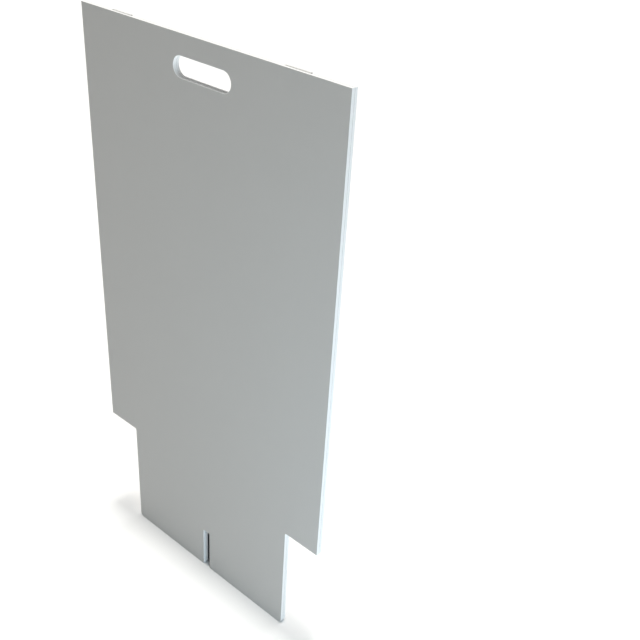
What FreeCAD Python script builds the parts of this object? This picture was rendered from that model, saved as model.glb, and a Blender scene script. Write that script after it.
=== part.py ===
import FreeCAD, Part

import os

import Sketcher

# A folding sandwich board, closed and standing. Two thin boards of one outline hang face to
# face from two small butt hinges on their top edges. Each has a hand grip near the top, its
# lower corners cut away, and a slot in the foot. A cross brace, stowed on the back, drops
# into both slots and holds the feet apart when the board is open.
#
# Frame: +X to the right, +Y to the back, +Z up, origin on the ground under the middle.

SIZES = [
    # The boards
    ("board_width", 610), ("board_height", 1143), ("board_thick", 6.2), ("fold_gap", 0.3),
    ("shoulder_height", 254), ("shoulder_inset", 81), ("corner_radius", 3), ("edge_round", 0.6),
    ("slot_width", 18), ("slot_height", 102), ("foot_round", 10), ("mouth_round", 4),
    ("grip_width", 133), ("grip_height", 35), ("grip_drop", 37), ("grip_round", 1.6),
    # The hinges: each barrel lies on the top edges, its leaves are let into the inner faces
    ("hinge_length", 50), ("hinge_inset", 105), ("leaf_height", 26), ("leaf_thick", 1),
    ("leaf_round", 1.5), ("barrel_diameter", 3.2), ("knuckle_gap", 0.3), ("pin_diameter", 1.6),
    ("pin_fit", 0.05), ("pin_head_diameter", 2.6), ("pin_head_thick", 0.8),
    ("leaf_clearance", 0.2), ("barrel_clearance", 0.3),
    # The countersunk screws of the leaves
    ("screw_diameter", 2.5), ("screw_head_diameter", 4.2), ("screw_length", 4.8),
    ("screw_tip", 1.2), ("screw_spread", 17), ("screw_row_high", 9), ("screw_row_low", 19),
    ("recess_span", 2.4), ("recess_width", 0.5), ("recess_depth", 0.6),
    # The cross brace, and the hook and loop tapes that hold it on the back
    ("opening", 24), ("brace_thick", 15), ("brace_height", 150), ("brace_overhang", 45),
    ("brace_round", 12), ("brace_edge_round", 1), ("notch_clearance", 1),
    ("tape_width", 50), ("tape_height", 25), ("tape_thick", 1.35), ("tape_gap", 0.3),
    ("tape_round", 3), ("tape_end_margin", 140),
]

# Sizes worked out from the ones above, in the order they are needed
DERIVED = [
    ("stem_half", "board_width / 2 - shoulder_inset"),
    ("stow_gap", "2 * tape_thick + tape_gap"),
    ("total_depth", "2 * board_thick + fold_gap + stow_gap + brace_thick"),
    ("fold_y", "board_thick + fold_gap / 2 - total_depth / 2"),
    ("rear_face_y", "fold_y + fold_gap / 2 + board_thick"),
    ("hinge_x", "board_width / 2 - hinge_inset"),
    ("knuckle_pitch", "hinge_length / 5"),
    ("knuckle_length", "knuckle_pitch - knuckle_gap"),
    ("barrel_end", "2 * knuckle_pitch + knuckle_length / 2"),
    ("leaf_drop", "barrel_diameter / 2 + barrel_clearance"),
    ("screw_head_height", "(screw_head_diameter - screw_diameter) / 2"),
    ("lean_sin", "sin(opening * 1 deg / 2)"),
    ("lean_cos", "cos(opening * 1 deg / 2)"),
    # Where an open board crosses the brace: at the notch's floor and at its mouth
    ("notch_floor", "slot_height * lean_cos"),
    ("notch_floor_x", "(board_height - slot_height) * lean_sin + fold_gap / 2 * lean_cos"),
    ("notch_mouth_x", "board_height * lean_sin - brace_height * lean_sin / lean_cos + "
                      "fold_gap / 2 * lean_cos"),
    ("notch_across", "board_thick / lean_cos"),
    ("brace_half", "notch_floor_x + notch_across + brace_overhang"),
]

FRONT, REAR = -1, 1

doc = FreeCAD.newDocument("sandwich_board")
sheet = doc.addObject("Spreadsheet::Sheet", "sizes")
names = [name for name, _ in SIZES + DERIVED]
pieces = []


# ---------------------------------------------------------------- sizes

def fill_sheet():
    """Put every driving size, then every worked-out one, in the sheet under its own alias."""
    for row, (name, value) in enumerate(SIZES + DERIVED, start=1):
        sheet.set(f"A{row}", name)
        sheet.set(f"B{row}", f"={value}" if isinstance(value, str) else str(value))
        sheet.setAlias(f"B{row}", name)
        doc.recompute()


def bound(formula):
    """A formula in the sheet's aliases, as an expression that reads the sheet."""
    out, word = "", ""
    for ch in formula + " ":
        if ch.isalnum() or ch == "_":
            word += ch
            continue
        out += ("sizes." + word if word in names else word) + ch
        word = ""
    return out.strip()


def value_of(formula):
    """The number that a formula in the sheet's aliases comes to."""
    probe = doc.getObject("probe")
    if probe is None:
        probe = doc.addObject("App::FeaturePython", "probe")
        probe.addProperty("App::PropertyFloat", "Result")
    probe.setExpression("Result", bound(formula))
    probe.recompute()
    return probe.Result


# ---------------------------------------------------------------- bodies, sketches, features

def new_body(label):
    """An empty body that becomes one sub-part."""
    body = doc.addObject("PartDesign::Body", label)
    pieces.append(body)
    return body


def origin_feature(body, role):
    return next(f for f in body.Origin.OriginFeatures if f.Role == role)


def new_sketch(body, name, role, offset=None):
    """A sketch on one of the body's own planes, moved along that plane's normal by offset."""
    sketch = body.newObject("Sketcher::SketchObject", name)
    sketch.AttachmentSupport = [(origin_feature(body, role), "")]
    sketch.MapMode = "FlatFace"
    if offset:
        sketch.setExpression(".AttachmentOffset.Base.z", bound(offset))
    return sketch


def dimension(sketch, kind, *refs):
    """Add a constraint whose last reference is a formula, and bind it to the sheet."""
    *geometry, formula = refs
    index = sketch.addConstraint(Sketcher.Constraint(kind, *geometry, value_of(formula)))
    sketch.setExpression(f"Constraints[{index}]", bound(formula))


def place_point(sketch, geometry, point, across, up):
    """Fix one point of a sketch by its two distances from the sketch's origin."""
    dimension(sketch, "DistanceX", -1, 1, geometry, point, across)
    dimension(sketch, "DistanceY", -1, 1, geometry, point, up)


def polygon(sketch, corners):
    """Draw a closed outline through corners given as pairs of formulas."""
    at = [FreeCAD.Vector(value_of(across), value_of(up), 0) for across, up in corners]
    count = len(at)
    lines = [sketch.addGeometry(Part.LineSegment(at[i], at[(i + 1) % count]))
             for i in range(count)]
    for i in range(count):
        sketch.addConstraint(Sketcher.Constraint("Coincident", lines[i], 2,
                                                 lines[(i + 1) % count], 1))
    for line, (across, up) in zip(lines, corners):
        place_point(sketch, line, 1, across, up)
    return sketch


def rectangle(sketch, left, right, low, high):
    return polygon(sketch, [(left, low), (right, low), (right, high), (left, high)])


def circles(sketch, diameter, centres):
    """Draw one circle of the same diameter at each centre."""
    for across, up in centres:
        centre = FreeCAD.Vector(value_of(across), value_of(up), 0)
        ring = sketch.addGeometry(Part.Circle(centre, FreeCAD.Vector(0, 0, 1),
                                              value_of(diameter) / 2))
        place_point(sketch, ring, 3, across, up)
        dimension(sketch, "Diameter", ring, diameter)
    return sketch


def stadium(sketch, width, height, middle):
    """Draw a round-ended slot centred across the sketch, with its middle at one height."""
    reach, radius = value_of(f"({width} - {height}) / 2"), value_of(f"{height} / 2")
    level = value_of(middle)
    normal = FreeCAD.Vector(0, 0, 1)

    def line(x0, x1, y):
        return sketch.addGeometry(Part.LineSegment(FreeCAD.Vector(x0, y, 0),
                                                   FreeCAD.Vector(x1, y, 0)))

    def end(x, start_degrees):
        circle = Part.Circle(FreeCAD.Vector(x, level, 0), normal, radius)
        start = FreeCAD.Units.Quantity(f"{start_degrees} deg").getValueAs("rad").Value
        turn = FreeCAD.Units.Quantity("180 deg").getValueAs("rad").Value
        return sketch.addGeometry(Part.ArcOfCircle(circle, start, start + turn))

    low = line(-reach, reach, level - radius)
    right = end(reach, -90)
    high = line(reach, -reach, level + radius)
    left = end(-reach, 90)
    for first, second in ((low, right), (right, high), (high, left), (left, low)):
        sketch.addConstraint(Sketcher.Constraint("Tangent", first, 2, second, 1))
    sketch.addConstraint(Sketcher.Constraint("Equal", left, right))
    dimension(sketch, "Radius", right, f"{height} / 2")
    place_point(sketch, right, 3, f"({width} - {height}) / 2", middle)
    place_point(sketch, left, 3, f"-({width} - {height}) / 2", middle)
    return sketch


def add(body, sketch, length, backwards=False):
    """Pad a sketch along its normal, or against it."""
    feature = body.newObject("PartDesign::Pad", sketch.Name + "_pad")
    feature.Profile = sketch
    feature.setExpression("Length", bound(length))
    feature.Reversed = backwards
    doc.recompute()
    return feature


def cut(body, sketch, depth, along_normal=False):
    """Pocket a sketch against its normal, or along it, and make sure that it cuts."""
    before = body.Shape.Volume
    feature = body.newObject("PartDesign::Pocket", sketch.Name + "_cut")
    feature.Profile = sketch
    feature.setExpression("Length", bound(depth))
    feature.Reversed = along_normal
    doc.recompute()
    if body.Shape.Volume >= before:
        raise RuntimeError(f"{feature.Label} cuts nothing")
    return feature


def revolve(body, sketch, axis):
    """Turn a sketch a full circle about one of its own axes."""
    feature = body.newObject("PartDesign::Revolution", sketch.Name + "_turn")
    feature.Profile = sketch
    feature.ReferenceAxis = (sketch, [axis])
    feature.Angle = 360
    doc.recompute()
    return feature


def round_edges(body, name, radius, wanted):
    """Fillet the edges of the body's present shape that a test picks out."""
    base = body.Tip
    edges = [f"Edge{i}" for i, edge in enumerate(base.Shape.Edges, start=1) if wanted(edge)]
    feature = body.newObject("PartDesign::Fillet", name)
    feature.Base = (base, edges)
    feature.setExpression("Radius", bound(radius))
    doc.recompute()
    return feature


def repeat(body, kind, features, **settings):
    """Repeat features of a body by a pattern or a mirror, and make that its new tip."""
    feature = body.newObject(f"PartDesign::{kind}", f"{body.Name}_{kind.lower()}")
    feature.Originals = features
    for name, value in settings.items():
        if isinstance(value, str):
            feature.setExpression(name, bound(value))
        else:
            setattr(feature, name, value)
    body.Tip = feature
    doc.recompute()
    return feature


def place(body, across="0", back="0", up="0", turn=FreeCAD.Rotation()):
    """Put a finished body where it belongs."""
    body.Placement = FreeCAD.Placement(FreeCAD.Vector(), turn)
    for letter, formula in zip("xyz", (across, back, up)):
        body.setExpression(f".Placement.Base.{letter}", bound(formula))
    doc.recompute()


def upright_edge(edge, corners):
    """Whether an edge runs along Y through one of the corners, given as X and Z formulas."""
    ends = [v.Point for v in edge.Vertexes]
    if len(ends) != 2 or abs(ends[0].y - ends[1].y) < 1e-6:
        return False
    return any(all(abs(p.x - value_of(x)) < 1e-4 and abs(p.z - value_of(z)) < 1e-4
                   for p in ends) for x, z in corners)


def on_plane(edge, y):
    """Whether a whole edge lies on the plane at y."""
    box = edge.BoundBox
    return abs(box.YMin - y) < 1e-4 and abs(box.YMax - y) < 1e-4


# ---------------------------------------------------------------- the boards

def make_board(label, side):
    """One board, its inner face on y = 0 and its thickness to the front or the rear of it."""
    body = new_body(label)
    half_slot = "slot_width / 2"
    right = [(half_slot, "slot_height"), (half_slot, "0"), ("stem_half", "0"),
             ("stem_half", "shoulder_height"), ("board_width / 2", "shoulder_height"),
             ("board_width / 2", "board_height")]
    left = [(f"-({across})", up) for across, up in reversed(right)]
    outline = polygon(new_sketch(body, label + "_outline", "XZ_Plane"), right + left)
    add(body, outline, "board_thick", backwards=side == REAR)
    inner_corners = [(sign + f"({across})", up) for sign in ("", "-")
                     for across, up in (("stem_half", "shoulder_height"),
                                        (half_slot, "slot_height"))]
    round_edges(body, label + "_corners", "corner_radius",
                lambda edge: upright_edge(edge, inner_corners))
    for name, radius, across in (("_feet", "foot_round", "stem_half"),
                                 ("_mouth", "mouth_round", half_slot)):
        low_corners = [(sign + f"({across})", "0") for sign in ("", "-")]
        round_edges(body, label + name, radius,
                    lambda edge: upright_edge(edge, low_corners))

    inward = side == FRONT
    grip_middle = "board_height - grip_drop - grip_height / 2"
    grip = stadium(new_sketch(body, label + "_grip", "XZ_Plane"), "grip_width", "grip_height",
                   grip_middle)
    cut(body, grip, "board_thick", inward)
    outer = side * value_of("board_thick")
    grip_low = value_of(f"{grip_middle} - grip_height / 2") - 1
    grip_half = value_of("grip_width / 2") + 1

    def around_grip(edge):
        box = edge.BoundBox
        return box.ZMin > grip_low and box.XMin > -grip_half and box.XMax < grip_half

    round_edges(body, label + "_grip_round", "grip_round",
                lambda edge: on_plane(edge, outer) and around_grip(edge))
    round_edges(body, label + "_edge_round", "edge_round",
                lambda edge: on_plane(edge, outer) and not around_grip(edge))

    # Seats of the right hinge, then the same for the left one
    leaf_reach = "(hinge_length / 2 + leaf_clearance)"
    leaf_seat = rectangle(new_sketch(body, label + "_leaf_seat", "XZ_Plane"),
                          f"hinge_x - {leaf_reach}", f"hinge_x + {leaf_reach}",
                          "board_height - leaf_height - leaf_clearance", "board_height + 1")
    barrel_reach = "(barrel_end + pin_head_thick + barrel_clearance)"
    barrel_seat = rectangle(new_sketch(body, label + "_barrel_seat", "XZ_Plane"),
                            f"hinge_x - {barrel_reach}", f"hinge_x + {barrel_reach}",
                            "board_height - leaf_drop", "board_height + 1")
    pilots = circles(new_sketch(body, label + "_pilots", "XZ_Plane"), "screw_diameter",
                     [(f"hinge_x + {x}", f"board_height + {z}") for x, z in screw_places()])
    seats = [cut(body, leaf_seat, "leaf_thick", inward),
             cut(body, barrel_seat, "leaf_drop - fold_gap / 2", inward),
             cut(body, pilots, "screw_length", inward)]
    repeat(body, "Mirrored", seats, MirrorPlane=(origin_feature(body, "YZ_Plane"), [""]))
    place(body, back=f"fold_y + {side} * fold_gap / 2")


# ---------------------------------------------------------------- the hinges

def screw_places():
    """The screws of one leaf, across and up from the middle of its barrel."""
    return [("(-screw_spread)", "(-screw_row_high)"), ("0", "(-screw_row_low)"),
            ("screw_spread", "(-screw_row_high)")]


def make_leaf(label, side, first_knuckle, knuckles, bore, hinge):
    """One leaf: a plate, knuckles at every second place of the barrel, and screw holes.

    Its own frame has the barrel's axis along X through the origin.
    """
    body = new_body(label)
    face = f"{-side} * fold_gap / 2"
    plate = rectangle(new_sketch(body, label + "_plate", "XZ_Plane", face),
                      "-hinge_length / 2", "hinge_length / 2", "-leaf_height", "-leaf_drop")
    add(body, plate, "leaf_thick", backwards=side == REAR)
    low_corners = [(sign + "hinge_length / 2", "-leaf_height") for sign in ("", "-")]
    round_edges(body, label + "_corners", "leaf_round",
                lambda edge: upright_edge(edge, low_corners))

    start = f"({first_knuckle} - 2) * knuckle_pitch - knuckle_length / 2"
    near, far = sorted((f"{side} * fold_gap / 2", f"{side} * (fold_gap / 2 + leaf_thick)"),
                       key=value_of)
    tab = rectangle(new_sketch(body, label + "_tab", "YZ_Plane", start), near, far,
                    "-leaf_drop - leaf_thick / 2", "-(barrel_diameter + pin_diameter) / 4")
    knuckle = circles(new_sketch(body, label + "_knuckle", "YZ_Plane", start),
                      "barrel_diameter", [("0", "0")])
    raised = [add(body, tab, "knuckle_length"), add(body, knuckle, "knuckle_length")]
    repeat(body, "LinearPattern", raised, Direction=(origin_feature(body, "X_Axis"), [""]),
           Length=f"2 * knuckle_pitch * {knuckles - 1}", Occurrences=knuckles)

    bore_sketch = circles(new_sketch(body, label + "_bore", "YZ_Plane", "-hinge_length"), bore,
                          [("0", "0")])
    cut(body, bore_sketch, "2 * hinge_length", along_normal=True)

    before = body.Shape.Volume
    spots = circles(new_sketch(body, label + "_screw_spots", "XZ_Plane", face),
                    "screw_diameter", screw_places())
    holes = body.newObject("PartDesign::Hole", label + "_screw_holes")
    holes.Profile = spots
    doc.recompute()
    holes.Threaded = False
    holes.DepthType = "ThroughAll"
    holes.DrillPoint = "Flat"
    holes.HoleCutType = "Countersink"
    holes.HoleCutCountersinkAngle = 90
    holes.setExpression("Diameter", bound("screw_diameter"))
    holes.setExpression("HoleCutDiameter", bound("screw_head_diameter"))
    holes.Reversed = side == FRONT
    doc.recompute()
    if body.Shape.Volume >= before:
        raise RuntimeError(f"{holes.Label} cuts nothing")
    place(body, across=f"{hinge} * hinge_x", back="fold_y", up="board_height")


def make_pin(label, hinge):
    """The pin of one hinge: a straight shank with a head against the last knuckle."""
    body = new_body(label)
    profile = polygon(new_sketch(body, label + "_profile", "XZ_Plane"), [
        ("-barrel_end", "0"), ("barrel_end + pin_head_thick", "0"),
        ("barrel_end + pin_head_thick", "pin_head_diameter / 2"),
        ("barrel_end", "pin_head_diameter / 2"), ("barrel_end", "pin_diameter / 2"),
        ("-barrel_end", "pin_diameter / 2")])
    revolve(body, profile, "H_Axis")
    place(body, across=f"{hinge} * hinge_x", back="fold_y", up="board_height")


def make_screw(label, side, hinge, spot):
    """One countersunk screw with a cross recess, its head flush with the leaf's face."""
    body = new_body(label)
    profile = polygon(new_sketch(body, label + "_profile", "XY_Plane"), [
        ("0", "0"), ("screw_head_diameter / 2", "0"),
        ("screw_diameter / 2", "screw_head_height"),
        ("screw_diameter / 2", "screw_length - screw_tip"), ("0", "screw_length")])
    revolve(body, profile, "V_Axis")
    arm, web = "recess_span / 2", "recess_width / 2"
    quarter = [(web, arm), (web, web), (arm, web)]
    cross = quarter + [(x, f"-{z}") for x, z in reversed(quarter)]
    cross += [(f"-{x}", z) for x, z in reversed(cross)]
    cut(body, polygon(new_sketch(body, label + "_recess", "XZ_Plane"), cross), "recess_depth")
    across, up = spot
    half_turn = FreeCAD.Rotation(FreeCAD.Vector(0, 0, 1), 180 if side == FRONT else 0)
    place(body, f"{hinge} * hinge_x + {across}", f"fold_y + {side} * fold_gap / 2",
          f"board_height + {up}", half_turn)


def make_hinge(name, hinge):
    """A butt hinge: two leaves that share a five-knuckle barrel, a pin and six screws."""
    make_leaf(f"{name}_hinge_front_leaf", FRONT, 0, 3, "pin_diameter", hinge)
    make_leaf(f"{name}_hinge_rear_leaf", REAR, 1, 2, "pin_diameter + 2 * pin_fit", hinge)
    make_pin(f"{name}_hinge_pin", hinge)
    for side, side_name in ((FRONT, "front"), (REAR, "rear")):
        for number, spot in enumerate(screw_places(), start=1):
            make_screw(f"{name}_hinge_{side_name}_screw_{number}", side, hinge, spot)


# ---------------------------------------------------------------- the cross brace

def make_brace(label):
    """The brace as it works, on edge across both boards, then turned up on end and stowed."""
    body = new_body(label)
    right = [("brace_half", "0"), ("brace_half", "brace_height"),
             ("notch_mouth_x + notch_across + notch_clearance", "brace_height"),
             ("notch_floor_x + notch_across + notch_clearance", "notch_floor"),
             ("notch_floor_x - notch_clearance", "notch_floor"),
             ("notch_mouth_x - notch_clearance", "brace_height")]
    left = [(f"-({across})", up) for across, up in reversed(right)]
    outline = polygon(new_sketch(body, label + "_outline", "XZ_Plane"), right + left)
    add(body, outline, "brace_thick", backwards=True)
    ends = [("brace_half", "brace_height"), ("-brace_half", "brace_height")]
    round_edges(body, label + "_ends", "brace_round", lambda edge: upright_edge(edge, ends))
    thick = value_of("brace_thick")
    round_edges(body, label + "_edges", "brace_edge_round",
                lambda edge: on_plane(edge, 0) or on_plane(edge, thick))
    place(body, "brace_height / 2", "rear_face_y + stow_gap", "brace_half",
          FreeCAD.Rotation(FreeCAD.Vector(0, 1, 0), -90))


def make_tape(label, back, up):
    """One rectangle of hook or loop tape, its near face at back and its middle at up."""
    body = new_body(label)
    half_width, half_height = "tape_width / 2", "tape_height / 2"
    face = rectangle(new_sketch(body, label + "_face", "XZ_Plane"), f"-{half_width}",
                     half_width, f"-{half_height}", half_height)
    add(body, face, "tape_thick", backwards=True)
    corners = [(x + half_width, z + half_height) for x in ("", "-") for z in ("", "-")]
    round_edges(body, label + "_corners", "tape_round",
                lambda edge: upright_edge(edge, corners))
    place(body, "0", back, up)


# ---------------------------------------------------------------- assembly

def check_and_export():
    """Refuse anything that failed, then write each sub-part to a STEP file of its own."""
    doc.removeObject("probe")
    doc.recompute()
    for obj in doc.Objects:
        if {"Invalid", "Error"} & set(obj.State):
            raise RuntimeError(f"{obj.Label} is {obj.State}")
    os.makedirs("parts", exist_ok=True)
    for body in pieces:
        shape = body.Shape
        if shape.isNull() or not shape.isValid() or len(shape.Solids) != 1:
            raise RuntimeError(f"{body.Label} is not one valid solid")
        shape.exportStep(f"parts/{body.Label}.step")
        print(f"{body.Label:32s} {shape.Volume:12.1f} mm3")


fill_sheet()
make_board("front_board", FRONT)
make_board("rear_board", REAR)
make_hinge("left", -1)
make_hinge("right", 1)
make_brace("cross_brace")
for level, up in (("low", "tape_end_margin"), ("high", "2 * brace_half - tape_end_margin")):
    make_tape(f"{level}_loop_tape", "rear_face_y", up)
    make_tape(f"{level}_hook_tape", "rear_face_y + tape_thick + tape_gap", up)
check_and_export()
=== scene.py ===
"""Looks of a folding sandwich board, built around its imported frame.

The boards, hinge leaves, pins and brace keep their frame shapes and get finishes. The leaf
screws and the hook and loop tapes are built here in finer detail and stand for their nodes.
Everything is in metres: +X right, +Y back, +Z up, the ground at zero.
"""

import logging
import math
from dataclasses import dataclass, field
from enum import Enum

import bmesh
import bpy
from mathutils import Matrix, Vector


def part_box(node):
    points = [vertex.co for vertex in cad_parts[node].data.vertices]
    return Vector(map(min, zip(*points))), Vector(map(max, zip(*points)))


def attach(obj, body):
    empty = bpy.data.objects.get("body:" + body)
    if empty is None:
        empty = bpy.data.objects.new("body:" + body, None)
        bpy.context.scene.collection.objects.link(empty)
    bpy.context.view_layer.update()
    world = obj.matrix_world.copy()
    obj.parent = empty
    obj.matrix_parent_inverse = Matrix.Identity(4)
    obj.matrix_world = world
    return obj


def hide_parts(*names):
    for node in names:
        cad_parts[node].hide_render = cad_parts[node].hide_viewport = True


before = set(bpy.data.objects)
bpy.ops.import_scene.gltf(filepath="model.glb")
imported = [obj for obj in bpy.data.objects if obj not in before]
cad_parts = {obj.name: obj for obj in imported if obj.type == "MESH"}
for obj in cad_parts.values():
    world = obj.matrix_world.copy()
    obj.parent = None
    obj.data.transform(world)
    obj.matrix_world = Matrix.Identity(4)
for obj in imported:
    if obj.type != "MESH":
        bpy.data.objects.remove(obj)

log = logging.getLogger("sandwich_board")

MM = 0.001

Colour = tuple[float, float, float]


class Side(Enum):
    """Which board a piece belongs to, with its body's name and the way its face looks."""

    FRONT = "front"
    REAR = "rear"

    @property
    def inward(self) -> float:
        """Sign along Y from the board towards the other board."""
        return 1.0 if self is Side.FRONT else -1.0


class Pile(Enum):
    """The two halves of a touch fastener."""

    HOOK = "hook"
    LOOP = "loop"


# ------------------------------------------------------------------ node helper


class Graph:
    """A thin wrapper that adds and links nodes of one node tree."""

    def __init__(self, tree: bpy.types.NodeTree) -> None:
        """Wrap a tree.

        Args:
            tree: The shader or geometry node tree to build in.
        """
        self.tree = tree

    def add(self, kind: str, settings: dict | None = None, **inputs: object) -> bpy.types.Node:
        """Add a node, set its properties and fill its inputs.

        Args:
            kind: The node's type name.
            settings: Properties of the node itself.
            **inputs: Values or sockets by input name, with underscores for spaces.

        Returns:
            The new node.
        """
        node = self.tree.nodes.new(kind)
        for name, value in (settings or {}).items():
            setattr(node, name, value)
        for name, value in inputs.items():
            self.put(node, name.replace("_", " "), value)
        return node

    def put(self, node: bpy.types.Node, name: str | int, value: object) -> None:
        """Set one input of a node, or link a socket into it.

        Args:
            node: The node that has the input.
            name: The input's name or its number.
            value: A plain value, or a socket to link from.
        """
        socket = node.inputs[name]
        if isinstance(value, bpy.types.NodeSocket):
            self.tree.links.new(value, socket)
        else:
            socket.default_value = value

    def maths(self, operation: str, a: object, b: object = 0.0, clamp: bool = False
              ) -> bpy.types.NodeSocket:
        """Add a math node in either kind of tree.

        Args:
            operation: The operation's name.
            a: First value or socket.
            b: Second value or socket.
            clamp: Whether to keep the result between 0 and 1.

        Returns:
            The result socket.
        """
        node = self.tree.nodes.new("ShaderNodeMath")
        node.operation, node.use_clamp = operation, clamp
        self.put(node, 0, a)
        self.put(node, 1, b)
        return node.outputs[0]

    def mix(self, factor: object, low: object, high: object) -> bpy.types.NodeSocket:
        """Mix two colours.

        Args:
            factor: Value or socket from 0 to 1.
            low: Colour or socket at 0.
            high: Colour or socket at 1.

        Returns:
            The mixed colour socket.
        """
        node = self.tree.nodes.new("ShaderNodeMix")
        node.data_type = "RGBA"
        self.put(node, 0, factor)
        self.put(node, 6, low)
        self.put(node, 7, high)
        return node.outputs[2]

    def remap(self, value: object, source: tuple[float, float], target: tuple[float, float]
              ) -> bpy.types.NodeSocket:
        """Map a value from one range to another, held at its ends.

        Args:
            value: Value or socket.
            source: The range it comes in.
            target: The range it goes to.

        Returns:
            The mapped socket.
        """
        node = self.add("ShaderNodeMapRange", {"clamp": True}, Value=value, From_Min=source[0],
                        From_Max=source[1], To_Min=target[0], To_Max=target[1])
        return node.outputs[0]


def rgba(colour: Colour) -> tuple[float, float, float, float]:
    """A colour with full opacity."""
    return (*colour, 1.0)


def scaled(colour: Colour, by: float) -> Colour:
    """A colour made lighter or darker."""
    return tuple(channel * by for channel in colour)


# ------------------------------------------------------------------ finishes


@dataclass(frozen=True)
class SheetFinish:
    """Expanded plastic sheet: a smooth satin skin, and foam cells on every cut edge.

    Attributes:
        name: The material's name.
        skin: Colour of the faces.
        core: Colour of the cut edges.
        roughness: Middle roughness of the faces.
        low: Lowest coordinate of the sheet through its thickness.
        high: Highest coordinate of the sheet through its thickness.
        grain_size: Size of the skin's fine pebble.
        cell_size: Size of the foam's cells.
    """

    name: str
    skin: Colour
    core: Colour
    roughness: float
    low: float
    high: float
    grain_size: float = 1.1 * MM
    cell_size: float = 0.28 * MM

    def build(self) -> bpy.types.Material:
        """Build the material.

        Returns:
            The finished material.
        """
        material, graph, shader = new_material(self.name)
        place = graph.add("ShaderNodeTexCoord").outputs["Object"]
        split = graph.add("ShaderNodeSeparateXYZ", Vector=place)
        middle, half = (self.low + self.high) / 2, (self.high - self.low) / 2
        inside = graph.maths("ABSOLUTE", graph.maths("SUBTRACT", split.outputs["Y"], middle))
        edge = graph.remap(inside, (half - 0.12 * MM, half - 0.04 * MM), (1.0, 0.0))

        cloud = self._noise(graph, place, 160 * MM, 2.0)
        drawn = self._noise(graph, self._stretched(graph, place, (1.0, 1.0, 0.05)), 4 * MM, 2.0)
        grain = self._noise(graph, place, self.grain_size, 3.0)
        cells = graph.add("ShaderNodeTexVoronoi", {"feature": "F1"}, Vector=place,
                          Scale=1 / self.cell_size)
        chatter = self._noise(graph, self._stretched(graph, place, (0.12, 1.0, 0.12)),
                              0.35 * MM, 2.0)

        skin = graph.mix(graph.remap(cloud, (0.3, 0.7), (0.0, 1.0)),
                         rgba(scaled(self.skin, 0.975)), rgba(self.skin))
        skin = graph.mix(graph.remap(drawn, (0.55, 0.8), (0.0, 0.25)), skin,
                         rgba(scaled(self.skin, 0.95)))
        # The foam cells are darker at their centres, where the bump also sinks them: painted
        # shade in the pores.
        pores = graph.remap(cells.outputs["Distance"], (0.0, 0.35), (1.0, 0.0))
        core = graph.mix(pores, rgba(self.core), rgba(scaled(self.core, 0.82)))
        core = graph.mix(graph.remap(chatter, (0.5, 0.75), (0.0, 0.35)), core,
                         rgba(scaled(self.core, 0.9)))
        graph.put(shader, "Base Color", graph.mix(edge, skin, core))

        smooth = graph.remap(cloud, (0.3, 0.7), (self.roughness - 0.04, self.roughness + 0.05))
        rough = graph.add("ShaderNodeMix", {"data_type": "FLOAT"})
        for socket, value in ((0, edge), (2, smooth), (3, 0.78)):
            graph.put(rough, socket, value)
        graph.put(shader, "Roughness", rough.outputs[0])
        shader.inputs["Specular IOR Level"].default_value = 0.42

        skin_height = graph.maths("MULTIPLY", grain, graph.remap(edge, (0, 1), (0.018, 0.0)))
        cut_height = graph.maths("MULTIPLY", graph.maths("SUBTRACT", chatter, pores),
                                 graph.remap(edge, (0, 1), (0.0, 0.09)))
        bump = graph.add("ShaderNodeBump", Strength=0.6, Distance=1 * MM,
                         Height=graph.maths("ADD", skin_height, cut_height))
        graph.put(shader, "Normal", bump.outputs[0])
        return material

    @staticmethod
    def _noise(graph: Graph, place: bpy.types.NodeSocket, grain: float, detail: float
               ) -> bpy.types.NodeSocket:
        """Noise with features of one size.

        Args:
            graph: The tree to build in.
            place: The coordinates to read.
            grain: Size of one feature in metres.
            detail: Octaves of finer detail.

        Returns:
            The noise value socket.
        """
        return graph.add("ShaderNodeTexNoise", Vector=place, Scale=1 / grain, Detail=detail,
                         Roughness=0.55).outputs[0]

    @staticmethod
    def _stretched(graph: Graph, place: bpy.types.NodeSocket, by: tuple[float, float, float]
                   ) -> bpy.types.NodeSocket:
        """Coordinates scaled along each axis, so that a pattern runs in lines.

        Args:
            graph: The tree to build in.
            place: The coordinates to read.
            by: Scale along X, Y and Z.

        Returns:
            The scaled coordinates.
        """
        return graph.add("ShaderNodeMapping", Vector=place, Scale=by).outputs[0]


@dataclass(frozen=True)
class CoatFinish:
    """Powder coat on sheet metal: satin, with a fine orange peel.

    Attributes:
        name: The material's name.
        colour: Colour of the coat.
        roughness: Roughness of the coat.
        peel_size: Size of the orange peel.
    """

    name: str
    colour: Colour
    roughness: float = 0.38
    peel_size: float = 0.7 * MM

    def build(self) -> bpy.types.Material:
        """Build the material.

        Returns:
            The finished material.
        """
        material, graph, shader = new_material(self.name)
        place = graph.add("ShaderNodeTexCoord").outputs["Object"]
        peel = graph.add("ShaderNodeTexNoise", Vector=place, Scale=1 / self.peel_size,
                         Detail=2.0).outputs[0]
        shade = graph.remap(peel, (0.3, 0.7), (0.0, 1.0))
        graph.put(shader, "Base Color", graph.mix(shade, rgba(scaled(self.colour, 0.96)),
                                                  rgba(self.colour)))
        graph.put(shader, "Roughness", graph.remap(peel, (0.3, 0.7), (self.roughness - 0.05,
                                                                      self.roughness + 0.05)))
        bump = graph.add("ShaderNodeBump", Strength=0.5, Distance=0.03 * MM, Height=peel)
        graph.put(shader, "Normal", bump.outputs[0])
        return material


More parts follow.
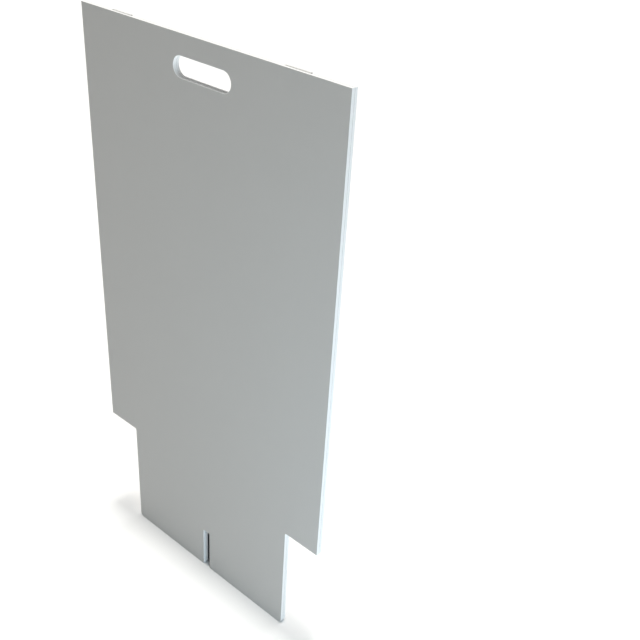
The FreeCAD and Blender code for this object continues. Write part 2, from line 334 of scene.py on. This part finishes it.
@dataclass(frozen=True)
class MetalFinish:
    """Drawn or plated steel with fine lines along X and a faint mottle.

    Attributes:
        name: The material's name.
        colour: Colour of the metal.
        roughness: Middle roughness.
        line_size: Spacing of the drawn lines.
    """

    name: str
    colour: Colour
    roughness: float = 0.3
    line_size: float = 0.12 * MM

    def build(self) -> bpy.types.Material:
        """Build the material.

        Returns:
            The finished material.
        """
        material, graph, shader = new_material(self.name)
        shader.inputs["Metallic"].default_value = 1.0
        place = graph.add("ShaderNodeTexCoord").outputs["Object"]
        along = graph.add("ShaderNodeMapping", Vector=place, Scale=(0.04, 1.0, 1.0)).outputs[0]
        lines = graph.add("ShaderNodeTexNoise", Vector=along, Scale=1 / self.line_size,
                          Detail=2.0).outputs[0]
        mottle = graph.add("ShaderNodeTexNoise", Vector=place, Scale=900.0,
                           Detail=1.0).outputs[0]
        shade = graph.remap(mottle, (0.3, 0.7), (0.0, 1.0))
        graph.put(shader, "Base Color", graph.mix(shade, rgba(scaled(self.colour, 0.9)),
                                                  rgba(self.colour)))
        graph.put(shader, "Roughness", graph.remap(lines, (0.3, 0.7), (self.roughness - 0.08,
                                                                       self.roughness + 0.1)))
        bump = graph.add("ShaderNodeBump", Strength=0.3, Distance=0.01 * MM, Height=lines)
        graph.put(shader, "Normal", bump.outputs[0])
        return material


@dataclass(frozen=True)
class TapeFinish:
    """Woven nylon tape with its pile.

    Attributes:
        name: The material's name.
        colour: Colour of the yarn.
        yarn_size: Width of one yarn of the ground weave.
    """

    name: str
    colour: Colour
    yarn_size: float = 0.45 * MM

    def build(self) -> bpy.types.Material:
        """Build the material.

        Returns:
            The finished material.
        """
        material, graph, shader = new_material(self.name)
        place = graph.add("ShaderNodeTexCoord").outputs["Object"]
        split = graph.add("ShaderNodeSeparateXYZ", Vector=place)
        step = 2 * math.pi / self.yarn_size
        warp = graph.maths("SINE", graph.maths("MULTIPLY", split.outputs["X"], step))
        weft = graph.maths("SINE", graph.maths("MULTIPLY", split.outputs["Z"], step))
        weave = graph.maths("MULTIPLY", warp, weft)
        fuzz = graph.add("ShaderNodeTexNoise", Vector=place, Scale=3000.0, Detail=3.0).outputs[0]
        # The colour follows the bump: darker in the weave's dips and lighter on its crowns,
        # painted shade and highlight, with the fuzz adding random tone.
        tone = graph.remap(graph.maths("ADD", weave, fuzz), (-0.6, 1.6), (0.0, 1.0))
        graph.put(shader, "Base Color", graph.mix(tone, rgba(scaled(self.colour, 0.55)),
                                                  rgba(scaled(self.colour, 1.5))))
        graph.put(shader, "Roughness", graph.remap(fuzz, (0.3, 0.7), (0.68, 0.9)))
        shader.inputs["Sheen Weight"].default_value = 0.25
        bump = graph.add("ShaderNodeBump", Strength=0.7, Distance=0.12 * MM, Height=tone)
        graph.put(shader, "Normal", bump.outputs[0])
        return material


def new_material(name: str) -> tuple[bpy.types.Material, Graph, bpy.types.Node]:
    """Start a material with one surface shader.

    Args:
        name: The material's name.

    Returns:
        The material, its graph and its surface shader node.
    """
    material = bpy.data.materials.new(name)
    material.use_nodes = True
    graph = Graph(material.node_tree)
    shader = material.node_tree.nodes["Principled BSDF"]
    return material, graph, shader


def dress(node: str, material: bpy.types.Material) -> None:
    """Give a frame node one finish.

    Args:
        node: The frame node's name.
        material: The finish for its whole surface.
    """
    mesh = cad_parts[node].data
    mesh.materials.clear()
    mesh.materials.append(material)
    log.info("%s dressed in %s", node, material.name)


# ------------------------------------------------------------------ mesh helpers


def mesh_object(name: str, shape: bmesh.types.BMesh, material: bpy.types.Material
                ) -> bpy.types.Object:
    """Turn a bmesh into an object at the origin with one finish.

    Args:
        name: The object's name.
        shape: The geometry, which is freed.
        material: The finish for its whole surface.

    Returns:
        The new object, linked to the scene.
    """
    bmesh.ops.remove_doubles(shape, verts=shape.verts, dist=1e-7)
    bmesh.ops.recalc_face_normals(shape, faces=shape.faces)
    mesh = bpy.data.meshes.new(name)
    shape.to_mesh(mesh)
    shape.free()
    mesh.materials.append(material)
    piece = bpy.data.objects.new(name, mesh)
    bpy.context.scene.collection.objects.link(piece)
    return piece


def smooth_by_angle(mesh: bpy.types.Mesh, degrees: float) -> None:
    """Shade a mesh smooth, with edges sharper than an angle kept crisp.

    Args:
        mesh: The mesh to shade.
        degrees: The largest angle that is still smooth.
    """
    for polygon in mesh.polygons:
        polygon.use_smooth = True
    mesh.set_sharp_from_angle(angle=math.radians(degrees))


class RepeatTree:
    """A geometry node tree that sets one template piece on each point of a mesh.

    Its named inputs are the template, the turn about Y, the tilt, the seed and the finish.
    """

    def __init__(self, name: str) -> None:
        """Build the tree.

        Args:
            name: The tree's name.
        """
        self.tree = bpy.data.node_groups.new(name, "GeometryNodeTree")
        graph = Graph(self.tree)
        face = self.tree.interface
        face.new_socket("Geometry", in_out="OUTPUT", socket_type="NodeSocketGeometry")
        kinds = (("Points", "Geometry"), ("Template", "Object"), ("Least Turn", "Float"),
                 ("Most Turn", "Float"), ("Size Spread", "Float"), ("Seed", "Int"),
                 ("Finish", "Material"))
        self.keys = {label: face.new_socket(label, in_out="INPUT",
                                            socket_type=f"NodeSocket{kind}").identifier
                     for label, kind in kinds}
        entry, leave = graph.add("NodeGroupInput"), graph.add("NodeGroupOutput")
        wanted = entry.outputs
        template = graph.add("GeometryNodeObjectInfo", Object=wanted["Template"])
        turn = self._random(graph, wanted["Least Turn"], wanted["Most Turn"], wanted["Seed"])
        spin = graph.add("ShaderNodeCombineXYZ", Y=turn)
        least = graph.maths("SUBTRACT", 1.0, wanted["Size Spread"])
        most = graph.maths("ADD", 1.0, wanted["Size Spread"])
        size = self._random(graph, least, most, graph.maths("ADD", wanted["Seed"], 1.0))
        placed = graph.add("GeometryNodeInstanceOnPoints", Points=wanted["Points"],
                           Instance=template.outputs["Geometry"], Rotation=spin.outputs[0],
                           Scale=size)
        real = graph.add("GeometryNodeRealizeInstances", Geometry=placed.outputs[0])
        finished = graph.add("GeometryNodeSetMaterial", Geometry=real.outputs[0],
                             Material=wanted["Finish"])
        graph.put(leave, 0, finished.outputs[0])

    @staticmethod
    def _random(graph: Graph, least: object, most: object, seed: object
                ) -> bpy.types.NodeSocket:
        """A random number for each point.

        Args:
            graph: The tree to build in.
            least: Lowest value.
            most: Highest value.
            seed: The seed.

        Returns:
            The value socket.
        """
        node = graph.tree.nodes.new("FunctionNodeRandomValue")
        node.data_type = "FLOAT"
        for name, value in (("Min", least), ("Max", most), ("Seed", seed)):
            socket = next(s for s in node.inputs if s.name == name and s.enabled)
            if isinstance(value, bpy.types.NodeSocket):
                graph.tree.links.new(value, socket)
            else:
                socket.default_value = value
        return next(s for s in node.outputs if s.enabled)

    def scatter(self, name: str, points: list[Vector], template: bpy.types.Object,
                material: bpy.types.Material, turns: tuple[float, float] = (0.0, 0.0),
                spread: float = 0.0, seed: int = 1) -> bpy.types.Object:
        """Set the template on each point and bake the result into a plain mesh.

        Args:
            name: The new object's name.
            points: Where each copy goes.
            template: The piece to copy.
            material: The finish of the result.
            turns: Least and most turn about Y, in radians.
            spread: How far the copies' sizes differ, as a share.
            seed: The seed of the differences.

        Returns:
            The new object, at the origin.
        """
        cloud = bpy.data.meshes.new(name + "_points")
        cloud.from_pydata([tuple(point) for point in points], [], [])
        carrier = bpy.data.objects.new(name + "_points", cloud)
        bpy.context.scene.collection.objects.link(carrier)
        modifier = carrier.modifiers.new("repeat", "NODES")
        modifier.node_group = self.tree
        for label, value in (("Template", template), ("Least Turn", turns[0]),
                             ("Most Turn", turns[1]), ("Size Spread", spread), ("Seed", seed),
                             ("Finish", material)):
            modifier[self.keys[label]] = value
        depsgraph = bpy.context.evaluated_depsgraph_get()
        mesh = bpy.data.meshes.new_from_object(carrier.evaluated_get(depsgraph))
        mesh.name = name
        carrier.modifiers.clear()
        bpy.data.objects.remove(carrier)
        piece = bpy.data.objects.new(name, mesh)
        bpy.context.scene.collection.objects.link(piece)
        return piece


# ------------------------------------------------------------------ the boards


@dataclass
class Boards:
    """The front and rear boards.

    Attributes:
        skin: Colour of the faces: a mid grey that paints the shade on them, far darker than the
            sheet's own white.
        core: Colour of the cut edges.
    """

    # The faces' grey is painted shade: the sheet is white, and only its cut edges keep a light
    # colour.
    skin: Colour = (0.43, 0.428, 0.416)
    core: Colour = (0.78, 0.79, 0.79)

    def build(self) -> None:
        """Dress both boards, each with a finish fitted to its own thickness."""
        for node in ("front_board", "rear_board"):
            low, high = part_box(node)
            finish = SheetFinish(f"{node}_sheet", self.skin, self.core, 0.5, low[1], high[1])
            dress(node, finish.build())


# ------------------------------------------------------------------ the hinges


@dataclass
class Screws:
    """The countersunk screws of both hinges, all the screws of one body in one piece.

    Attributes:
        recess_span: Length of the recess's arms.
        recess_width: Width of each arm.
        recess_depth: Depth of the recess.
        recess_taper: How much smaller the recess is at its floor.
        head_height: Height of the head's cone.
        edge_break: Width of the bevel round the head's rim.
        tip: Length of the point.
        sides: Facets round the head.
    """

    recess_span: float = 2.3 * MM
    recess_width: float = 0.52 * MM
    recess_depth: float = 0.6 * MM
    recess_taper: float = 0.7
    head_height: float = 0.85 * MM
    edge_break: float = 0.06 * MM
    tip: float = 1.2 * MM
    sides: int = 48

    def build(self, finish: bpy.types.Material) -> None:
        """Build the screws of each body.

        Args:
            finish: The plated steel.
        """
        tree = RepeatTree("screw_rows")
        for side in Side:
            nodes = [name for name in sorted(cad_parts)
                     if f"hinge_{side.value}_screw" in name]
            template = self._template(side, nodes[0], finish)
            piece = tree.scatter(f"{side.value}_leaf_screws",
                                 [self._seat(side, node) for node in nodes], template, finish,
                                 turns=(0.0, math.pi / 2), seed=7)
            smooth_by_angle(piece.data, 35)
            bpy.data.objects.remove(template)
            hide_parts(*nodes)
            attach(piece, side.value)
            log.info("%s stands for %d screws", piece.name, len(nodes))

    @staticmethod
    def _seat(side: Side, node: str) -> Vector:
        """The middle of a screw's head at the leaf's face.

        Args:
            side: The board that the screw is in.
            node: The screw's frame node.

        Returns:
            The point.
        """
        low, high = (Vector(corner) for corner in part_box(node))
        middle = (low + high) / 2
        middle.y = high.y if side is Side.FRONT else low.y
        return middle

    def _template(self, side: Side, node: str, finish: bpy.types.Material) -> bpy.types.Object:
        """One screw with its head's face at the origin.

        Args:
            side: The board that the screw is in.
            node: A frame node to take the sizes from.
            finish: The plated steel.

        Returns:
            The template object.
        """
        low, high = (Vector(corner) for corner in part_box(node))
        head, length = (high.x - low.x) / 2, high.y - low.y
        shank = head - self.head_height
        profile = [(0.0, 0.0), (head - self.edge_break, 0.0), (head, self.edge_break),
                   (shank, self.head_height), (shank, length - self.tip), (0.0, length)]
        shape = bmesh.new()
        ring = [shape.verts.new((radius, -side.inward * depth, 0.0))
                for radius, depth in profile]
        edges = [shape.edges.new(pair) for pair in zip(ring, ring[1:])]
        bmesh.ops.spin(shape, geom=ring + edges, cent=(0, 0, 0), axis=(0, 1, 0),
                       angle=2 * math.pi, steps=self.sides, use_merge=True)
        screw = mesh_object(f"screw_template_{side.value}", shape, finish)
        for arm in ((self.recess_span, self.recess_width),
                    (self.recess_width, self.recess_span)):
            self._cut_arm(screw, side, arm, finish)
        return screw

    def _cut_arm(self, screw: bpy.types.Object, side: Side, arm: tuple[float, float],
                 finish: bpy.types.Material) -> None:
        """Cut one arm of the cross recess.

        Args:
            screw: The template to cut.
            side: The board that the screw is in.
            arm: The arm's size across and up.
            finish: The finish of the cut walls.
        """
        block = bmesh.new()
        bmesh.ops.create_cube(block, size=1.0)
        bmesh.ops.scale(block, verts=block.verts, vec=(arm[0], 2 * self.recess_depth, arm[1]))
        for vertex in block.verts:
            if vertex.co.y * side.inward < 0:
                vertex.co.x *= self.recess_taper
                vertex.co.z *= self.recess_taper
        cutter = mesh_object("recess_cutter", block, finish)
        boolean = screw.modifiers.new("recess", "BOOLEAN")
        boolean.operation, boolean.solver, boolean.object = "DIFFERENCE", "EXACT", cutter
        depsgraph = bpy.context.evaluated_depsgraph_get()
        mesh = bpy.data.meshes.new_from_object(screw.evaluated_get(depsgraph))
        screw.modifiers.clear()
        screw.data = mesh
        bpy.data.objects.remove(cutter)


@dataclass
class Hinges:
    """Two butt hinges: coated leaves, bright pins and plated screws.

    Attributes:
        coat: Colour of the leaves.
        pin: Colour of the pins.
        plate: Colour of the screws.
    """

    coat: Colour = (0.78, 0.785, 0.775)
    pin: Colour = (0.58, 0.58, 0.6)
    plate: Colour = (0.66, 0.68, 0.7)
    screws: Screws = field(default_factory=Screws)

    def build(self) -> None:
        """Dress the leaves and pins and build the screws."""
        coat = CoatFinish("leaf_coat", self.coat).build()
        pin = MetalFinish("pin_steel", self.pin).build()
        for name in sorted(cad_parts):
            if name.endswith("_leaf"):
                dress(name, coat)
            elif name.endswith("_pin"):
                dress(name, pin)
        self.screws.build(MetalFinish("screw_plate", self.plate, 0.34).build())


# ------------------------------------------------------------------ the cross brace


@dataclass
class Tapes:
    """Hook and loop tapes: a woven ground with rows of hooks or loops standing on it.

    Attributes:
        colour: Colour of the nylon.
        ground: Thickness of the woven ground.
        corner: Radius of the ground's corners.
        margin: Bare edge round the pile.
        hook_pitch: Distance between hooks.
        loop_pitch: Distance between loops.
        wire: Radius of a hook's or loop's yarn.
        tree: Sets the pile on the ground. It is made by build().
    """

    colour: Colour = (0.022, 0.022, 0.025)
    ground: float = 0.55 * MM
    corner: float = 3 * MM
    margin: float = 1.6 * MM
    hook_pitch: float = 1.5 * MM
    loop_pitch: float = 1.25 * MM
    wire: float = 0.09 * MM
    tree: RepeatTree | None = None

    def build(self) -> None:
        """Build all four tapes."""
        finish = TapeFinish("touch_tape", self.colour).build()
        self.tree = RepeatTree("tape_pile")
        for level in ("low", "high"):
            for pile, body in ((Pile.LOOP, "rear"), (Pile.HOOK, "brace")):
                self._tape(level, pile, body, finish)

    def _tape(self, level: str, pile: Pile, body: str, finish: bpy.types.Material) -> None:
        """Build one tape.

        Args:
            level: Which pair it belongs to.
            pile: Hooks or loops.
            body: The body that it is stuck to.
            finish: The nylon.
        """
        node = f"{level}_{pile.value}_tape"
        low, high = (Vector(corner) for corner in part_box(node))
        outward = 1.0 if pile is Pile.LOOP else -1.0
        back = low.y if pile is Pile.LOOP else high.y
        height = (high.y - low.y) - self.ground
        top = back + outward * self.ground
        ground = self._ground(low, high, back, top, finish)
        pitch = self.hook_pitch if pile is Pile.HOOK else self.loop_pitch
        template = self._yarn(pile, outward, height, finish)
        turns = (-0.25, 0.25) if pile is Pile.HOOK else (0.0, math.pi)
        nap = self.tree.scatter(f"{node}_nap", self._rows(low, high, top, pitch), template,
                                finish, turns=turns, spread=0.1, seed=3)
        bpy.data.objects.remove(template)
        joined = bmesh.new()
        joined.from_mesh(ground.data)
        joined.from_mesh(nap.data)
        mesh = bpy.data.meshes.new(f"{node}_woven")
        joined.to_mesh(mesh)
        joined.free()
        mesh.materials.append(finish)
        bpy.data.objects.remove(ground)
        bpy.data.objects.remove(nap)
        piece = bpy.data.objects.new(f"{node}_woven", mesh)
        bpy.context.scene.collection.objects.link(piece)
        smooth_by_angle(mesh, 40)
        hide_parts(node)
        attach(piece, body)
        log.info("%s has %d faces", piece.name, len(mesh.polygons))

    def _ground(self, low: Vector, high: Vector, back: float, top: float,
                finish: bpy.types.Material) -> bpy.types.Object:
        """The woven ground: a thin slab with round corners and a rounded selvedge.

        Args:
            low: Lowest corner of the tape's box.
            high: Highest corner of the tape's box.
            back: Where it is stuck down, along Y.
            top: Where its pile starts, along Y.
            finish: The nylon.

        Returns:
            The slab.
        """
        levels = ((back, 0.12 * MM), (back + 0.25 * (top - back), 0.0),
                  (back + 0.75 * (top - back), 0.0), (top, 0.12 * MM))
        slab = bmesh.new()
        rings = [[slab.verts.new((x, y, z)) for x, z in self._outline(low, high, inset)]
                 for y, inset in levels]
        count = len(rings[0])
        for first, second in zip(rings, rings[1:]):
            for i in range(count):
                j = (i + 1) % count
                slab.faces.new((first[i], first[j], second[j], second[i]))
        slab.faces.new(rings[0])
        slab.faces.new(rings[-1])
        return mesh_object("tape_ground", slab, finish)

    def _outline(self, low: Vector, high: Vector, inset: float) -> list[tuple[float, float]]:
        """A rectangle with round corners.

        Args:
            low: Lowest corner of the box.
            high: Highest corner of the box.
            inset: How far inside the box it runs.

        Returns:
            Its points across and up, in order.
        """
        radius = self.corner - inset
        points = []
        for turn, x, z in ((0, high.x, high.z), (1, low.x, high.z), (2, low.x, low.z),
                           (3, high.x, low.z)):
            centre_x = x + (self.corner if x == low.x else -self.corner)
            centre_z = z + (self.corner if z == low.z else -self.corner)
            for step in range(9):
                angle = (turn + step / 8) * math.pi / 2
                points.append((centre_x + radius * math.cos(angle),
                               centre_z + radius * math.sin(angle)))
        return points

    def _rows(self, low: Vector, high: Vector, y: float, pitch: float) -> list[Vector]:
        """Places of the hooks or loops, each row shifted half a step from the last.

        Args:
            low: Lowest corner of the tape's box.
            high: Highest corner of the tape's box.
            y: The ground's surface.
            pitch: Distance between neighbours.

        Returns:
            The places.
        """
        width, tall = high.x - low.x - 2 * self.margin, high.z - low.z - 2 * self.margin
        across, up = int(width / pitch), int(tall / pitch)
        places = []
        for row in range(up + 1):
            for column in range(across + (row + 1) % 2):
                x = low.x + self.margin + (column + 0.5 * (row % 2)) * width / across
                places.append(Vector((x, y, low.z + self.margin + row * tall / up)))
        return places

    def _yarn(self, pile: Pile, outward: float, height: float, finish: bpy.types.Material
              ) -> bpy.types.Object:
        """One hook or one loop, standing on the origin.

        Args:
            pile: Hook or loop.
            outward: Sign of Y away from the ground.
            height: How tall it stands.
            finish: The nylon.

        Returns:
            The template object.
        """
        reach = (height / 1.1 - self.wire) / 2
        last = 205 if pile is Pile.HOOK else 180
        path = [Vector((-reach, -0.1 * MM, 0)), Vector((-reach, reach, 0))]
        path += [Vector((-reach * math.cos(math.radians(a)),
                         reach + reach * math.sin(math.radians(a)), 0))
                 for a in range(45, last + 1, 40)]
        if pile is Pile.LOOP:
            path += [Vector((reach, reach, 0)), Vector((reach, -0.1 * MM, 0))]
        yarn = bmesh.new()
        rings = []
        for i, point in enumerate(path):
            ahead = path[min(i + 1, len(path) - 1)] - path[max(i - 1, 0)]
            side = Vector((-ahead.y, ahead.x, 0)).normalized()
            rings.append([yarn.verts.new(self._set(point + self.wire * (
                side * math.cos(t) + Vector((0, 0, 1)) * math.sin(t)), outward))
                for t in (k * math.pi / 2 for k in range(4))])
        for first, second in zip(rings, rings[1:]):
            for i in range(4):
                j = (i + 1) % 4
                yarn.faces.new((first[i], first[j], second[j], second[i]))
        yarn.faces.new(rings[0])
        yarn.faces.new(rings[-1])
        return mesh_object(f"{pile.value}_template", yarn, finish)

    @staticmethod
    def _set(point: Vector, outward: float) -> Vector:
        """A point with its Y turned to face outward."""
        return Vector((point.x, outward * point.y, point.z))


@dataclass
class CrossBrace:
    """The stowed cross brace and the tapes that hold it.

    Attributes:
        skin: Colour of the brace's faces, near black to paint the deep shade seen through the
            boards' slot.
        core: Colour of its cut edges, as dark for the same painted shade.
    """

    # Near black with a blue cast: painted shade for the dark strip seen through the boards' slot.
    skin: Colour = (0.045, 0.05, 0.06)
    core: Colour = (0.055, 0.06, 0.07)
    tapes: Tapes = field(default_factory=Tapes)

    def build(self) -> None:
        """Dress the brace and build its tapes."""
        low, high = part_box("cross_brace")
        finish = SheetFinish("brace_painted_shade_sheet", self.skin, self.core, 0.55, low[1], high[1])
        dress("cross_brace", finish.build())
        self.tapes.build()


# ------------------------------------------------------------------ the studio


@dataclass
class Studio:
    """A plain pale floor, soft lights and the camera.

    Attributes:
        floor_reach: Half the floor's width.
        floor_colour: Colour of the floor.
        azimuth: The camera's turn to the right of the front, in degrees.
        elevation: The camera's height angle, in degrees.
        roll: The camera's own turn, in degrees.
        distance: From the camera to the aim point.
        aim: The point on the front face that the camera looks at.
        lens: Focal length on a 36 mm frame, in millimetres.
    """

    floor_reach: float = 14.0
    floor_colour: Colour = (0.8, 0.8, 0.8)
    azimuth: float = 39.615
    elevation: float = 31.601
    roll: float = 3.815
    distance: float = 1.4624
    aim: tuple[float, float, float] = (0.2752, -0.0154, 0.7589)
    lens: float = 51.516

    def build(self) -> None:
        """Build the floor, the lights, the sky and the camera."""
        self._floor()
        self._sky((1.0, 0.975, 0.94), 0.2)
        self._sun("overhead_light", (1.0, 0.985, 0.95), 3.55, 89.6, 90.0, 8.0)
        self._sun("rear_light", (1.0, 1.0, 1.0), 0.45, 45.0, 80.0, 20.0)
        self._softbox("side_light", (0.66, 0.86, 1.0), 13.0, (1.45, -0.7, 0.4), 0.6)
        self._camera()
        scene = bpy.context.scene
        scene.view_settings.view_transform = "Standard"
        scene.view_settings.look = "None"

    def _floor(self) -> None:
        """The pale floor."""
        plane = bmesh.new()
        bmesh.ops.create_grid(plane, x_segments=1, y_segments=1, size=self.floor_reach)
        material, graph, shader = new_material("studio_floor")
        place = graph.add("ShaderNodeTexCoord").outputs["Object"]
        cloud = graph.add("ShaderNodeTexNoise", Vector=place, Scale=1.5, Detail=2.0).outputs[0]
        tone = graph.mix(cloud, rgba(scaled(self.floor_colour, 0.985)), rgba(self.floor_colour))
        graph.put(shader, "Base Color", tone)
        shader.inputs["Roughness"].default_value = 0.9
        shader.inputs["Specular IOR Level"].default_value = 0.1
        floor = mesh_object("studio_floor", plane, material)

    @staticmethod
    def _sky(colour: Colour, strength: float) -> None:
        """Even light from all round.

        Args:
            colour: The light's colour.
            strength: Its strength.
        """
        world = bpy.data.worlds.new("studio_sky")
        world.use_nodes = True
        background = world.node_tree.nodes["Background"]
        background.inputs["Color"].default_value = rgba(colour)
        background.inputs["Strength"].default_value = strength
        bpy.context.scene.world = world

    @staticmethod
    def _sun(name: str, colour: Colour, strength: float, height: float, round_to: float,
             softness: float) -> None:
        """A broad distant light.

        Args:
            name: The light's name.
            colour: Its colour.
            strength: Its strength.
            height: Its angle above the ground, in degrees.
            round_to: Its direction from +X towards +Y, in degrees.
            softness: The angle that it fills, in degrees.
        """
        light = bpy.data.lights.new(name, "SUN")
        light.color, light.energy, light.angle = colour, strength, math.radians(softness)
        lamp = bpy.data.objects.new(name, light)
        up, turn = math.radians(height), math.radians(round_to)
        away = Vector((math.cos(up) * math.cos(turn), math.cos(up) * math.sin(turn),
                       math.sin(up)))
        lamp.rotation_euler = away.to_track_quat("Z", "Y").to_euler()
        bpy.context.scene.collection.objects.link(lamp)

    @staticmethod
    def _softbox(name: str, colour: Colour, power: float, place: tuple[float, float, float],
                 size: float) -> None:
        """A square soft light turned towards the middle of the board.

        Args:
            name: The light's name.
            colour: Its colour.
            power: Its power.
            place: Where it stands.
            size: The length of its side.
        """
        light = bpy.data.lights.new(name, "AREA")
        light.color, light.energy, light.size = colour, power, size
        lamp = bpy.data.objects.new(name, light)
        lamp.location = place
        away = Vector(place) - Vector((0.2, 0.0, 0.45))
        lamp.rotation_euler = away.to_track_quat("Z", "Y").to_euler()
        bpy.context.scene.collection.objects.link(lamp)

    def _camera(self) -> None:
        """The camera, at the front and to the right, looking down."""
        turn, up = math.radians(self.azimuth), math.radians(self.elevation)
        away = Vector((math.sin(turn) * math.cos(up), -math.cos(turn) * math.cos(up),
                       math.sin(up)))
        level = away.to_track_quat("Z", "Y").to_matrix().to_4x4()
        rolled = level @ Matrix.Rotation(math.radians(self.roll), 4, "Z")
        lens = bpy.data.cameras.new("studio_camera")
        lens.sensor_width, lens.lens, lens.clip_end = 36.0, self.lens, 100.0
        camera = bpy.data.objects.new("studio_camera", lens)
        camera.matrix_world = Matrix.Translation(Vector(self.aim) + self.distance * away) @ rolled
        bpy.context.scene.collection.objects.link(camera)
        bpy.context.scene.camera = camera


def main() -> None:
    """Build every sub-assembly in order, then the studio."""
    logging.basicConfig(level=logging.INFO, format="%(name)s: %(message)s")
    for part in (Boards(), Hinges(), CrossBrace(), Studio()):
        part.build()
        log.info("%s built", type(part).__name__)


if __name__ == "__main__":
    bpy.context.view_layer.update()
    main()
